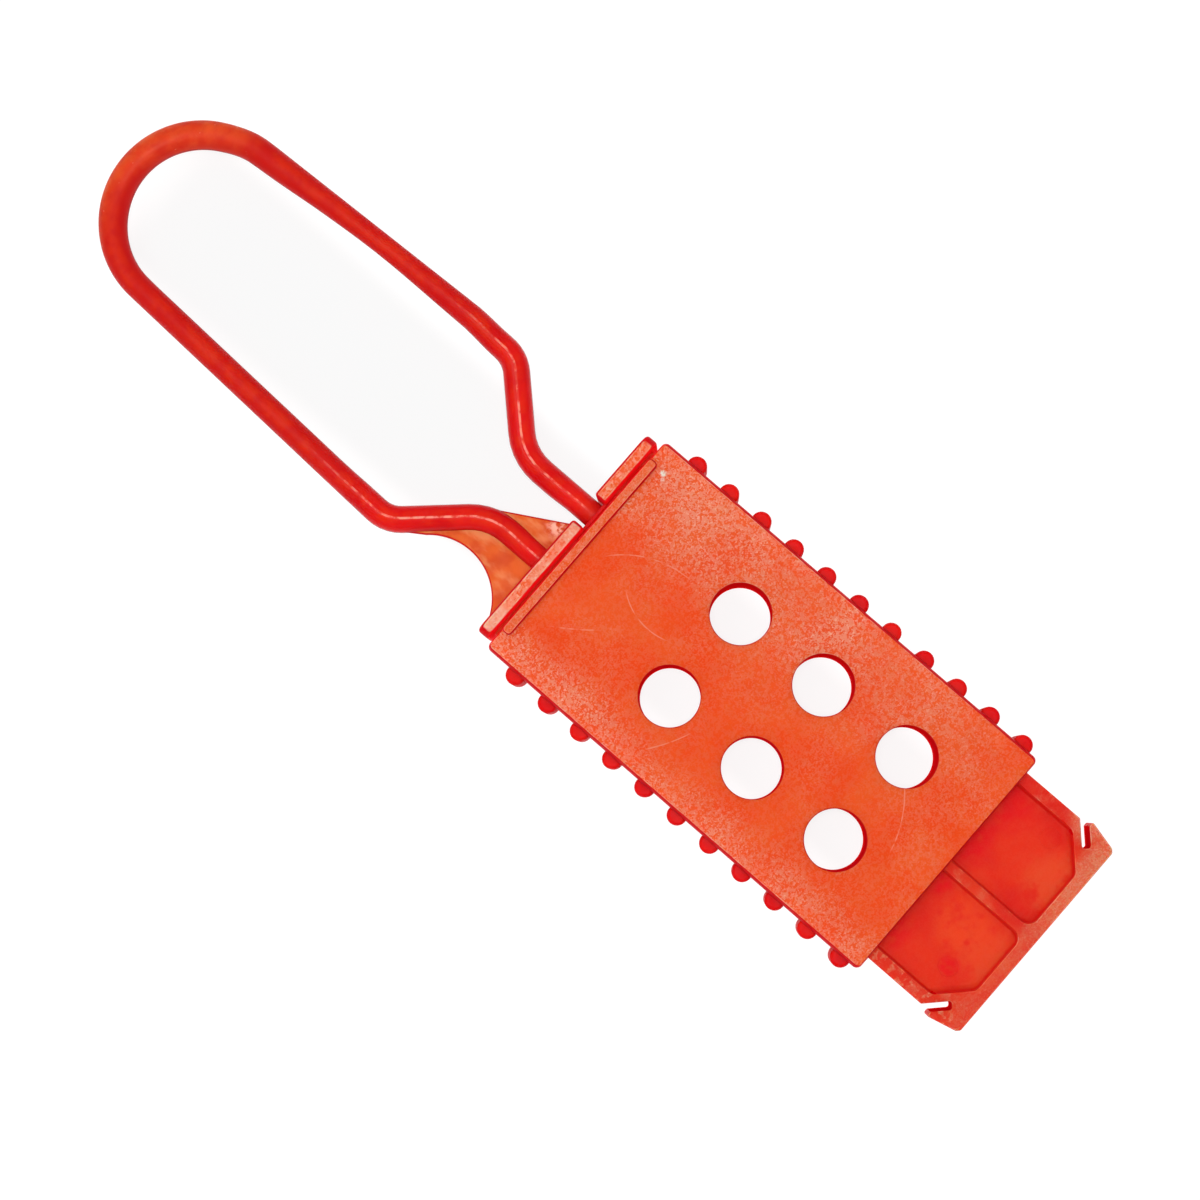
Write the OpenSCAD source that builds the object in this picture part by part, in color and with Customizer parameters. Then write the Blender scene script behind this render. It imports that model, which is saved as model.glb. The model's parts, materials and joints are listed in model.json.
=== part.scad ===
// Six-hole lockout hasp in moulded nylon, lying flat with its shackle closed.
// X runs across the body, Y along it towards the shackle loop, Z up from the flat underside.
// The sleeve slides towards the tail, then the free arm of the shackle flexes up and out of the flange.

/* [Sleeve] */
// Width of the sleeve without its grip beads
sleeve_w = 39.5; // [38.5:0.1:41]
// Length of the sleeve along its slide
sleeve_l = 70.2; // [69:0.1:71]
// Thickness of the sleeve from back face to front face
sleeve_t = 9.2; // [8.8:0.1:10]
// Thickness of the front and back walls
face_wall = 1.6; // [1.2:0.1:1.8]
// Rounding of the sleeve's long outer edges
edge_r = 0.6; // [0.3:0.1:1]
// Length of the raised rib across the front wall
rib_w = 32.8; // [28:0.1:36]
// Width of the raised rib
rib_l = 1.6; // [1.2:0.1:2.4]
// Height of the rib above the front wall
rib_h = 0.8; // [0.4:0.1:1.2]

/* [Padlock holes] */
// Diameter of each padlock hole
hole_d = 8.9; // [8:0.1:9.2]
// Distance between neighbouring holes, both ways
hole_pitch = 15.6; // [15.2:0.1:15.9]
// Distance from the sleeve's shackle end to the first row of holes
first_row = 24.6; // [22:0.1:25]

/* [Grip beads] */
// Diameter of each grip bead
bead_d = 3; // [2.4:0.1:3.4]
// How far the beads stand out of the sleeve's sides
bead_out = 1.7; // [1.5:0.1:1.9]
// Height of each bead
bead_h = 7.2; // [5:0.1:8]
// Distance between neighbouring beads
bead_pitch = 6.14; // [5:0.02:6.2]
// Number of beads on each side
bead_count = 11; // [5:1:11]
// Distance from the sleeve's shackle end to the first bead
first_bead = 5.8; // [4:0.1:6]

/* [Slider] */
// Width of the slider between its outer sides
slider_w = 34.8; // [34:0.1:35]
// Thickness of the slider's rails, ribs and bosses
slider_t = 5.8; // [5.4:0.1:5.9]
// Thickness of the slider's floor, halfway up the rails
floor_t = 2.2; // [1.6:0.1:2.6]
// Width of the side rails
rail_w = 2; // [1.6:0.1:2.2]
// Width of the rib along the middle of the floor
middle_rib_w = 1.7; // [1.2:0.1:2]
// Wall of the round bosses that line the padlock holes
boss_wall = 1.6; // [1.2:0.1:1.8]
// Length of the bar across the tail
tail_bar_l = 2; // [1.6:0.1:2.4]
// Distance from the sleeve's tail end to the slider's tail end, closed
tail_show = 16.6; // [15:0.1:18]

/* [Barbs] */
// How far each barb stands out of the slider's sides
barb_out = 0.8; // [0.5:0.1:0.9]
// Height of a barb's shoulder above the slider's tail end
barb_l = 5; // [4.6:0.1:5.4]
// Width of the slot that frees each barb
slot_w = 1.2; // [0.8:0.1:1.4]
// Length of that slot
slot_l = 4.3; // [3.8:0.1:4.6]

/* [Flange] */
// Width of the flange at the slider's shackle end
flange_w = 37.4; // [37:0.1:39]
// Thickness of the flange along the slide
flange_l = 2.05; // [1.8:0.05:2.4]
// Gap between the flange and the closed sleeve
flange_gap = 0.5; // [0.3:0.1:0.8]
// Corner rounding at the flange's ends
flange_r = 1.6; // [0.8:0.1:2]
// Width of the gate that the free leg passes through
gate_w = 4.6; // [4.4:0.1:5.2]

/* [Shackle] */
// Diameter of the shackle rod
rod_d = 3.8; // [3.4:0.1:4]
// Overall length of the hasp
hasp_l = 176; // [170:1:182]
// Outer radius of the shackle's arch
arch_r = 15.2; // [14.6:0.1:15.8]
// Angle by which each arm leans outwards below the arch
arm_lean = 2.3; // [1:0.1:3]
// Distance between the middles of the two legs
leg_spacing = 10; // [9.6:0.1:10.4]
// Height of the fixed leg's outer corner above the flange
fixed_shoulder = 21.05; // [20:0.05:23]
// Height of the fixed leg's inner corner above the flange
fixed_neck = 9.8; // [9:0.1:11]
// Height of the free leg's outer corner above the flange
free_shoulder = 22.65; // [21:0.05:24]
// Height of the free leg's inner corner above the flange
free_neck = 12.05; // [11:0.05:13]
// Bend radius of the rod at the outer corners
shoulder_r = 5.5; // [4:0.1:7]
// Bend radius of the rod at the inner corners
neck_r = 8.5; // [6:0.1:9]
// How far the free arm bows outwards half-way down
arm_bow = 0.6; // [0:0.1:0.8]
// How much thinner the free arm's radius is there
arm_waist = 0.3; // [0:0.05:0.4]
// Thickness of the web that stiffens the fixed leg
web_t = 1; // [0.8:0.1:1.6]
// Width of the foot that locks the free leg
foot_w = 8; // [7:0.1:9]
// Thickness of that foot
foot_t = 2; // [1.6:0.1:2]
// Length of that foot
foot_l = 2.45; // [2:0.05:2.5]

/* [Hidden] */
$fn = 64;

// Places along the length, from the middle of the whole hasp
tail_y = -hasp_l / 2;
sleeve_tail_y = tail_y + tail_show;
sleeve_top_y = sleeve_tail_y + sleeve_l;
flange_y = sleeve_top_y + flange_gap;
flange_top_y = flange_y + flange_l;
first_row_y = sleeve_top_y - first_row;
bar_y = tail_y + tail_bar_l;
barb_y = tail_y + barb_l;

// Levels above the flat underside
mid_z = sleeve_t / 2;
slider_z = mid_z - slider_t / 2;
floor_z = mid_z - floor_t / 2;
flange_z = 0.15;
flange_h = sleeve_t + rib_h - flange_z;

// Half widths and clearances
side_clearance = 0.15;
side_x = slider_w / 2;
rail_x = side_x - rail_w;
tunnel_x = side_x + side_clearance;
leg_x = leg_spacing / 2;
gate_right_x = leg_x + rod_d / 2 + 0.15;
gate_left_x = gate_right_x - gate_w;
boss_r = hole_d / 2 + boss_wall;

// The slot beside each barb slants in from the rail's outer side, and a thin band runs along it
slot_angle = 44;
slot_dir = [-cos(slot_angle), -sin(slot_angle)];
slot_normal = [sin(slot_angle), -cos(slot_angle)];
slot_start = [side_x, barb_y + slot_w / cos(slot_angle)];
slot_end = slot_start + slot_l * slot_dir;
slot_end_low = slot_end + slot_w * slot_normal;
band_w = 1.2;
band_start = slot_start - band_w * slot_normal;
band_corner_y = band_start[1] + (rail_x - band_start[0]) * tan(slot_angle);
band_foot_x = band_start[0] + (bar_y - band_start[1]) / tan(slot_angle);
barb_taper = 1.1;
barb_chamfer = 0.5;

// The pocket round the foot, open above and below
foot_clearance = 0.3;
foot_top_y = flange_y - foot_clearance;
pocket_wall = 1.3;
pocket_half = foot_w / 2 + foot_clearance;
pocket_y = foot_top_y - foot_l - 0.45;

// Middle line of the shackle rod
bend_r = arch_r - rod_d / 2;
arch_y = hasp_l / 2 - arch_r;
arm_top = [bend_r * cos(arm_lean), arch_y + bend_r * sin(arm_lean)];
fixed_corner_y = flange_top_y + fixed_shoulder;
free_corner_y = flange_top_y + free_shoulder;
fixed_neck_y = flange_top_y + fixed_neck;
free_neck_y = flange_top_y + free_neck;

// The web's hollow outer edge is an arc that runs straight on into the rod, and its inner edge is straight
web_r = 9.35;
web_y = flange_top_y + 8.95;
web_gap = 0.39;
web_fade = 3;
web_inner_x = 2.2;
web_touch = 30;
web_tip = 0.12;

// Sides of the rod's section, and steps in each of its bends and down the free arm
rod_sides = 28;
bend_steps = 8;
arm_steps = 16;

// Direction from p to q in degrees, and the unit vector of a direction
function heading(p, q) = atan2(q[1] - p[1], q[0] - p[0]);
function along(angle) = [cos(angle), sin(angle)];

// X of the arm's middle line at height y
function arm_x(y) = arm_top[0] + (arm_top[1] - y) * tan(arm_lean);

// Distance from a corner to where a bend of radius r starts
function setback(before, after, r) = r * tan(abs(after - before) / 2);

// Middle of the bend that rounds corner c from heading before to heading after
function bend_middle(c, before, after, r) =
    c - setback(before, after, r) * along(before) + sign(after - before) * r * along(before + 90);

// Points round that bend, each with its heading as a third number
function bend_path(c, before, after, r) = [
    for (i = [0:bend_steps])
        let (now = before + (after - before) * i / bend_steps)
            concat(bend_middle(c, before, after, r) - sign(after - before) * r * along(now + 90), now)
];

// Corners and headings of a right-hand leg whose corners are at the heights given
function shoulder_at(corner_y) = [arm_x(corner_y), corner_y];
function slant(corner_y, neck_y) = heading(shoulder_at(corner_y), [leg_x, neck_y]);

// Middle line of a right-hand leg: shoulder bend, slanting stretch, neck bend and straight end
function leg_path(corner_y, neck_y, end_y) = concat(
    bend_path(shoulder_at(corner_y), arm_lean - 90, slant(corner_y, neck_y), shoulder_r),
    bend_path([leg_x, neck_y], slant(corner_y, neck_y), -90, neck_r),
    [[leg_x, end_y, -90]]
);

// Radius of the rod at a point of a path, which may have it as a fourth number
function reach(p) = len(p) > 3 ? p[3] : rod_d / 2;

// Rod swept along a path of points with headings
module swept_rod(path) {
    last = len(path) - 1;
    points = [
        for (p = path, i = [0:rod_sides - 1])
            let (a = 360 * i / rod_sides, out = along(p[2] + 90) * cos(a) * reach(p))
                [p[0] + out[0], p[1] + out[1], mid_z + sin(a) * reach(p)]
    ];
    skin = [
        for (k = [0:last - 1], i = [0:rod_sides - 1])
            let (j = (i + 1) % rod_sides, a = k * rod_sides, b = a + rod_sides)
                [a + i, b + i, b + j, a + j]
    ];
    start_cap = [for (i = [0:rod_sides - 1]) i];
    end_cap = [for (i = [rod_sides - 1:-1:0]) last * rod_sides + i];
    polyhedron(points, concat(skin, [start_cap, end_cap]));
}

// Quarter of the arch, from the crown down to the top of the right-hand arm
module half_arch() {
    translate([0, arch_y, mid_z])
        rotate([0, 0, arm_lean])
            rotate_extrude(angle = 90 - arm_lean)
                translate([bend_r, 0])
                    circle(d = rod_d);
}

// Straight arm on the right-hand side, down to its shoulder bend
module straight_arm(corner_y, neck_y) {
    back = setback(arm_lean - 90, slant(corner_y, neck_y), shoulder_r);
    translate([arm_top[0], arm_top[1], mid_z])
        rotate([90, 0, arm_lean])
            cylinder(d = rod_d, h = norm(shoulder_at(corner_y) - arm_top) - back);
}

// The free arm bows outwards and is thinner half-way down, where it flexes
module flexing_arm(corner_y, neck_y) {
    back = setback(arm_lean - 90, slant(corner_y, neck_y), shoulder_r);
    arm_l = norm(shoulder_at(corner_y) - arm_top) - back;
    swept_rod([
        for (i = [0:arm_steps])
            let (share = i / arm_steps, wave = sin(180 * share))
                concat(arm_top + share * arm_l * along(arm_lean - 90) + arm_bow * wave * along(arm_lean),
                    arm_lean - 90, rod_d / 2 - arm_waist * wave * wave)
    ]);
}

// Places its child at the middle of every padlock hole
module at_holes() {
    for (column = [-0.5, 0.5], row = [0:2])
        translate([column * hole_pitch, first_row_y - row * hole_pitch, 0])
            children();
}

// Upright prism over an outline, from level z up
module slab(z, h) {
    translate([0, 0, z])
        linear_extrude(h)
            children();
}

// Flat rectangle from corner p to corner q
module patch(p, q) {
    translate(p)
        square(q - p);
}

// Section across the sleeve or flange drawn in X and Z, run along Y from y up by l
module run_along(y, l) {
    translate([0, y + l, 0])
        rotate([90, 0, 0])
            linear_extrude(l)
                children();
}

// Wall of the sleeve's front: flat below, its two outer edges rounded
module face_plate() {
    difference() {
        run_along(sleeve_tail_y, sleeve_l)
            union() {
                patch([-sleeve_w / 2, 0], [sleeve_w / 2, face_wall - edge_r]);
                patch([edge_r - sleeve_w / 2, 0], [sleeve_w / 2 - edge_r, face_wall]);
                for (side = [-1, 1])
                    translate([side * (sleeve_w / 2 - edge_r), face_wall - edge_r])
                        circle(r = edge_r);
            }
        at_holes()
            translate([0, 0, -1])
                cylinder(d = hole_d, h = face_wall + 2);
    }
}

module sleeve_front_wall() {
    color("orangered")
        translate([0, 0, sleeve_t - face_wall])
            face_plate();
}

module sleeve_back_wall() {
    color("orangered")
        translate([0, 0, face_wall])
            mirror([0, 0, 1])
                face_plate();
}

module side_wall() {
    slab(face_wall, sleeve_t - 2 * face_wall)
        patch([tunnel_x, sleeve_tail_y], [sleeve_w / 2, sleeve_top_y]);
}

module sleeve_left_wall() {
    color("crimson")
        mirror([1, 0, 0])
            side_wall();
}

module sleeve_right_wall() {
    color("crimson")
        side_wall();
}

module sleeve_end_rib() {
    rib_r = rib_l / 2;
    color("coral")
        translate([0, sleeve_top_y - rib_r, 0])
            slab(sleeve_t, rib_h)
                union() {
                    patch([rib_r - rib_w / 2, -rib_r], [rib_w / 2 - rib_r, rib_r]);
                    for (side = [-1, 1])
                        translate([side * (rib_w / 2 - rib_r), 0])
                            circle(r = rib_r);
                }
}

// Row of upright half-round beads on the right-hand side
module grip_beads() {
    bead_x = sleeve_w / 2 + bead_out - bead_d / 2;
    slab(mid_z - bead_h / 2, bead_h)
        difference() {
            for (i = [0:bead_count - 1])
                translate([bead_x, sleeve_top_y - first_bead - i * bead_pitch])
                    circle(d = bead_d);
            patch([0, sleeve_tail_y], [sleeve_w / 2, sleeve_top_y]);
        }
}

module left_grip_beads() {
    color("crimson")
        mirror([1, 0, 0])
            grip_beads();
}

module right_grip_beads() {
    color("crimson")
        grip_beads();
}

// Floor of the slider, with room for the bosses and the foot pocket
module slider_floor() {
    color("red")
        difference() {
            slab(floor_z, floor_t)
                polygon([[-rail_x, flange_y], [rail_x, flange_y], [rail_x, band_corner_y],
                    [band_foot_x, bar_y], [-band_foot_x, bar_y], [-rail_x, band_corner_y]]);
            at_holes()
                cylinder(r = boss_r, h = sleeve_t);
            slab(0, sleeve_t)
                patch([leg_x - pocket_half - pocket_wall, pocket_y - pocket_wall],
                    [leg_x + pocket_half + pocket_wall, flange_y + 1]);
        }
}

// Ring round each padlock hole, as tall as the rails
module hole_bosses() {
    color("red")
        at_holes()
            translate([0, 0, slider_z])
                difference() {
                    cylinder(r = boss_r, h = slider_t);
                    translate([0, 0, -1])
                        cylinder(d = hole_d, h = slider_t + 2);
                }
}

// Rail along the slider's right-hand side, with the band that runs in along the slot
module rail() {
    slab(slider_z, slider_t)
        polygon([[rail_x, flange_y], [side_x, flange_y], slot_start, slot_end,
            [slot_end[0], bar_y], [band_foot_x, bar_y], [rail_x, band_corner_y]]);
}

module left_rail() {
    color("tomato")
        mirror([1, 0, 0])
            rail();
}

module right_rail() {
    color("tomato")
        rail();
}

// One strip above the floor and one below it
module middle_rib() {
    strip_h = (slider_t - floor_t) / 2;
    color("tomato")
        for (z = [slider_z, floor_z + floor_t])
            slab(z, strip_h)
                patch([-middle_rib_w / 2, bar_y], [middle_rib_w / 2, pocket_y - pocket_wall]);
}

module tail_bar() {
    color("tomato")
        slab(slider_z, slider_t)
            patch([-slot_end[0], tail_y], [slot_end[0], bar_y]);
}

// Springy corner of the tail: a shoulder that stops the sleeve, and a taper that lets it on
module barb() {
    slab(slider_z, slider_t)
        polygon([[side_x, barb_y], [side_x + barb_out, barb_y],
            [side_x + barb_out - barb_taper, tail_y + barb_chamfer],
            [side_x + barb_out - barb_taper - barb_chamfer, tail_y],
            [slot_end[0], tail_y], slot_end, slot_end_low]);
}

module left_barb() {
    color("orangered")
        mirror([1, 0, 0])
            barb();
}

module right_barb() {
    color("orangered")
        barb();
}

// Half of the flange from x on its inner side to the outer end, in X and Z
module flange_section(x) {
    end_x = flange_w / 2;
    patch([x, flange_z], [end_x - flange_r, flange_z + flange_h]);
    patch([x, flange_z + flange_r], [end_x, flange_z + flange_h - flange_r]);
    for (z = [flange_z + flange_r, flange_z + flange_h - flange_r])
        translate([end_x - flange_r, z])
            circle(r = flange_r);
}

module left_flange() {
    color("coral")
        mirror([1, 0, 0])
            run_along(flange_y, flange_l)
                flange_section(-gate_left_x);
}

module right_flange() {
    color("coral")
        run_along(flange_y, flange_l)
            flange_section(gate_right_x);
}

// Three walls that hold the free leg's foot sideways and from below
module foot_pocket() {
    color("tomato")
        slab(slider_z, slider_t)
            difference() {
                patch([leg_x - pocket_half - pocket_wall, pocket_y - pocket_wall],
                    [leg_x + pocket_half + pocket_wall, flange_y]);
                patch([leg_x - pocket_half, pocket_y], [leg_x + pocket_half, flange_y + 1]);
            }
}

// Thin web on both sides of the fixed leg, drawn on the right and mirrored with the leg
module leg_web() {
    neck = [leg_x, fixed_neck_y];
    tilt = slant(fixed_corner_y, fixed_neck_y);
    rod_r = rod_d / 2;
    // Hollow arc that runs out beside the slanting stretch of the rod
    outer_x = leg_x + (web_y - neck[1]) / tan(tilt) + (web_r + web_gap + rod_r) / abs(sin(tilt));
    arc_middle = [outer_x, web_y];
    to_rod = along(tilt - 90);
    up_rod = -along(tilt);
    arc_end = arc_middle + web_r * to_rod;
    fade_end = arc_end + web_fade * up_rod + 1.2 * web_gap * to_rod;
    top_end = arc_end + web_fade * up_rod + (web_gap + rod_r) * to_rod;
    // Straight edge that runs out beside the neck bend
    neck_middle = bend_middle(neck, tilt, -90, neck_r);
    inner_end = neck_middle + (neck_r + rod_r - web_tip) * along(180 - web_touch);
    path = leg_path(fixed_corner_y, fixed_neck_y, flange_top_y - 1);
    edges = [for (side = [-1, 1]) [for (p = path) [p[0], p[1]] + side * rod_r * along(p[2] + 90)]];
    color("darkorange")
        mirror([1, 0, 0])
            slab(mid_z - web_t / 2, web_t)
                difference() {
                    polygon([arc_middle, [outer_x, flange_top_y], [-web_inner_x, flange_top_y],
                        inner_end, top_end, fade_end, arc_end]);
                    translate(arc_middle)
                        circle(r = web_r);
                    polygon(concat(edges[0], [for (k = [len(path) - 1:-1:0]) edges[1][k]]));
                }
}

module fixed_leg() {
    color("red")
        mirror([1, 0, 0])
            swept_rod(leg_path(fixed_corner_y, fixed_neck_y, flange_top_y));
}

module fixed_arm() {
    color("red")
        mirror([1, 0, 0])
            straight_arm(fixed_corner_y, fixed_neck_y);
}

module fixed_arch() {
    color("red")
        mirror([1, 0, 0])
            half_arch();
}

module free_arch() {
    color("firebrick")
        half_arch();
}

module free_arm() {
    color("firebrick")
        flexing_arm(free_corner_y, free_neck_y);
}

module free_leg() {
    color("firebrick")
        swept_rod(leg_path(free_corner_y, free_neck_y, foot_top_y));
}

// Flat cross-piece that sits behind the flange, under the closed sleeve
module leg_foot() {
    color("firebrick")
        slab(mid_z - foot_t / 2, foot_t)
            patch([leg_x - foot_w / 2, foot_top_y - foot_l], [leg_x + foot_w / 2, foot_top_y]);
}

sleeve_front_wall();
sleeve_back_wall();
sleeve_left_wall();
sleeve_right_wall();
sleeve_end_rib();
left_grip_beads();
right_grip_beads();
slider_floor();
hole_bosses();
left_rail();
right_rail();
middle_rib();
tail_bar();
left_barb();
right_barb();
left_flange();
right_flange();
foot_pocket();
leg_web();
fixed_leg();
fixed_arm();
fixed_arch();
free_arch();
free_arm();
free_leg();
leg_foot();
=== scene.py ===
import json
import math

import bpy
from mathutils import Matrix, Vector
from mathutils.geometry import tessellate_polygon


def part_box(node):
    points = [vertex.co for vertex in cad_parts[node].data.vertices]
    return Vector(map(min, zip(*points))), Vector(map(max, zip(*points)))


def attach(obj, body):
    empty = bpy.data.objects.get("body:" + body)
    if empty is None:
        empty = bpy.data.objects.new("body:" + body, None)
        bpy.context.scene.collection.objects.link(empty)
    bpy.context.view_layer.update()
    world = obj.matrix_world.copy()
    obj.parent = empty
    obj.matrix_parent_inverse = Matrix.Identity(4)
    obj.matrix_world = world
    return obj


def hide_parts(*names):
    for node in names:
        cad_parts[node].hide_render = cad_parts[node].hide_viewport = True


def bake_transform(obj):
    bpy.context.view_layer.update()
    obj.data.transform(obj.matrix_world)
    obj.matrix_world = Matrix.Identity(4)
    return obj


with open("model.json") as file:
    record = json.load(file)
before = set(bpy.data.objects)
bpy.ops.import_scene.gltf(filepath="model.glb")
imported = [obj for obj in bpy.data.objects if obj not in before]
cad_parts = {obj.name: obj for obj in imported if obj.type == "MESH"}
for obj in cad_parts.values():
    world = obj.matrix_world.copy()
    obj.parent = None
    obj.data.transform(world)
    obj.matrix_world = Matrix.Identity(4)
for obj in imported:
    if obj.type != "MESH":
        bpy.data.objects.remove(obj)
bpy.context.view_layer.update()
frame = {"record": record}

# Looks of a six-hole lockout hasp in moulded nylon. Shapes are worked out in millimetres in the
# frame's own axes: X across the body, Y towards the shackle's arch, Z up out of the ribbed face.
MM = 0.001


def box_mm(node):
    """Lowest and highest corners of a CAD node, in millimetres."""
    low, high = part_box(node)
    return low / MM, high / MM


# ---------------------------------------------------------------- sizes

SLEEVE_LOW, SLEEVE_TOP = box_mm("sleeve_front_wall")
BACK_LOW, BACK_TOP = box_mm("sleeve_back_wall")
SIDE_LOW = box_mm("sleeve_right_wall")[0]
RIB_LOW, RIB_TOP = box_mm("sleeve_end_rib")
BEADS_LOW, BEADS_TOP = box_mm("right_grip_beads")
FLOOR_LOW, FLOOR_TOP = box_mm("slider_floor")
BOSS_TOP = box_mm("hole_bosses")[1]
RAIL_LOW, RAIL_TOP = box_mm("right_rail")
BARB_TOP = box_mm("right_barb")[1]
BAR_LOW, BAR_TOP = box_mm("tail_bar")
STRIP_TOP = box_mm("middle_rib")[1]
POCKET_LOW, POCKET_TOP = box_mm("foot_pocket")
LEFT_LIP_LOW, LEFT_LIP_TOP = box_mm("left_flange")
RIGHT_LIP_LOW, RIGHT_LIP_TOP = box_mm("right_flange")
WEB_LOW, WEB_TOP = box_mm("leg_web")
ARCH_LOW, ARCH_TOP = box_mm("free_arch")
LEG_LOW = box_mm("free_leg")[0]
FOOT_LOW, FOOT_TOP = box_mm("leg_foot")

MID_Z = (SLEEVE_TOP.z + BACK_LOW.z) / 2
SLEEVE_HALF = SLEEVE_TOP.x
TAIL_Y = BAR_LOW.y
HOLES = [Vector(m["pos_m"]) / MM for m in frame["record"]["mounts"] if m["kind"] == "bore"]
HOLE_R = frame["record"]["mounts"][0]["dims"]["r_mm"]
HOLE_PITCH = HOLES[1].x - HOLES[0].x
BOSS_R = BOSS_TOP.x - HOLE_PITCH / 2

# Roundings of the moulding's edges, where no CAD solid has them. A pair is for X and for Y.
SLEEVE_EDGE = 0.4
SLEEVE_CORNER = 0.9
DRAFT = (0.62, 0.3)
DRAFT_H = 1.2
RIM = 0.2
INNER_RIM = 0.12
RIB_EDGE = 0.32
PLATE_EDGE = 0.2
ROOT = (0.4, 1.45)
ROOT_H = 1.58
POCKET_CORNER = 1.6
LIP_EDGE = 0.5
LIP_END_R = 1.7

# Steps of the roundings and of the round outlines
ARC_STEP = math.radians(9)
EDGE_STEPS = 5
HOLE_STEPS = 96


# ---------------------------------------------------------------- outlines and shells


def along(angle):
    """Unit vector in the drawing plane at an angle."""
    return Vector((math.cos(angle), math.sin(angle)))


def corner_points(before, at, after, r):
    """Points round a corner rounded to radius r, each with the outward normal there.
    The material lies on the left of the way round."""
    way_in = math.atan2(at[1] - before[1], at[0] - before[0])
    way_out = math.atan2(after[1] - at[1], after[0] - at[0])
    turn = (way_out - way_in + math.pi) % (2 * math.pi) - math.pi
    side = math.copysign(1, turn)
    start = Vector(at[:2]) - r * math.tan(abs(turn) / 2) * along(way_in)
    middle = start + side * r * along(way_in + math.pi / 2)
    steps = max(2, math.ceil(abs(turn) / ARC_STEP))
    points = []
    for k in range(steps + 1):
        normal = along(way_in + turn * k / steps - math.pi / 2)
        points.append((middle + side * r * normal, normal))
    return points


def round_outline(corners):
    """Closed outline through corners (x, y, radius)."""
    points = []
    for i, at in enumerate(corners):
        after = corners[(i + 1) % len(corners)]
        points += corner_points(corners[i - 1], at, after, at[2])
    return points


def circle_outline(x, y, r, hole=False):
    """Circle whose normals point out of it, or into it for a hole."""
    sign = -1 if hole else 1
    points = []
    for k in range(HOLE_STEPS):
        normal = along(2 * math.pi * k / HOLE_STEPS)
        points.append((Vector((x, y)) + r * normal, sign * normal))
    return points


def mirrored(corners):
    """The same outline on the other side of the middle plane, kept in the same way round."""
    return [(-x, y, r) for x, y, r in reversed(corners)]


def quarter():
    """Angles from 0 to 90 degrees in a rounding's steps."""
    return [math.pi / 2 * k / EDGE_STEPS for k in range(EDGE_STEPS + 1)]


def both(value):
    """A number for X and one for Y, from such a pair or from one number for both."""
    return value if isinstance(value, tuple) else (value, value)


def curved(level, r, tall, side, inner):
    """Profile of a rounding tall and r wide between a wall and a face at a level that faces side.
    It bulges round an outer edge, or is hollow in an inner corner."""
    sign = -1 if inner else 1
    profile = []
    for a in quarter():
        offset = tuple(sign * w * (math.cos(a) - 1) for w in both(r))
        tilt = tuple(side * math.atan2(w * math.sin(a), tall * math.cos(a)) for w in both(r))
        profile.append((offset, level - sign * side * tall * (1 - math.sin(a)), tilt))
    return profile


def rounding(level, r, side):
    """Profile from a wall round an outer edge to a face at a level that faces side."""
    return curved(level, r, r, side, inner=False)


def root(level, r, tall, side):
    """Profile from a wall through an inner corner to a face at a level that faces side."""
    return curved(level, r, tall, side, inner=True)


def slab_profile(low, high, r_low, r_high):
    """Profile from the face at low, up the wall, to the face at high."""
    return rounding(low, r_low, -1)[::-1] + rounding(high, r_high, 1)


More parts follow.
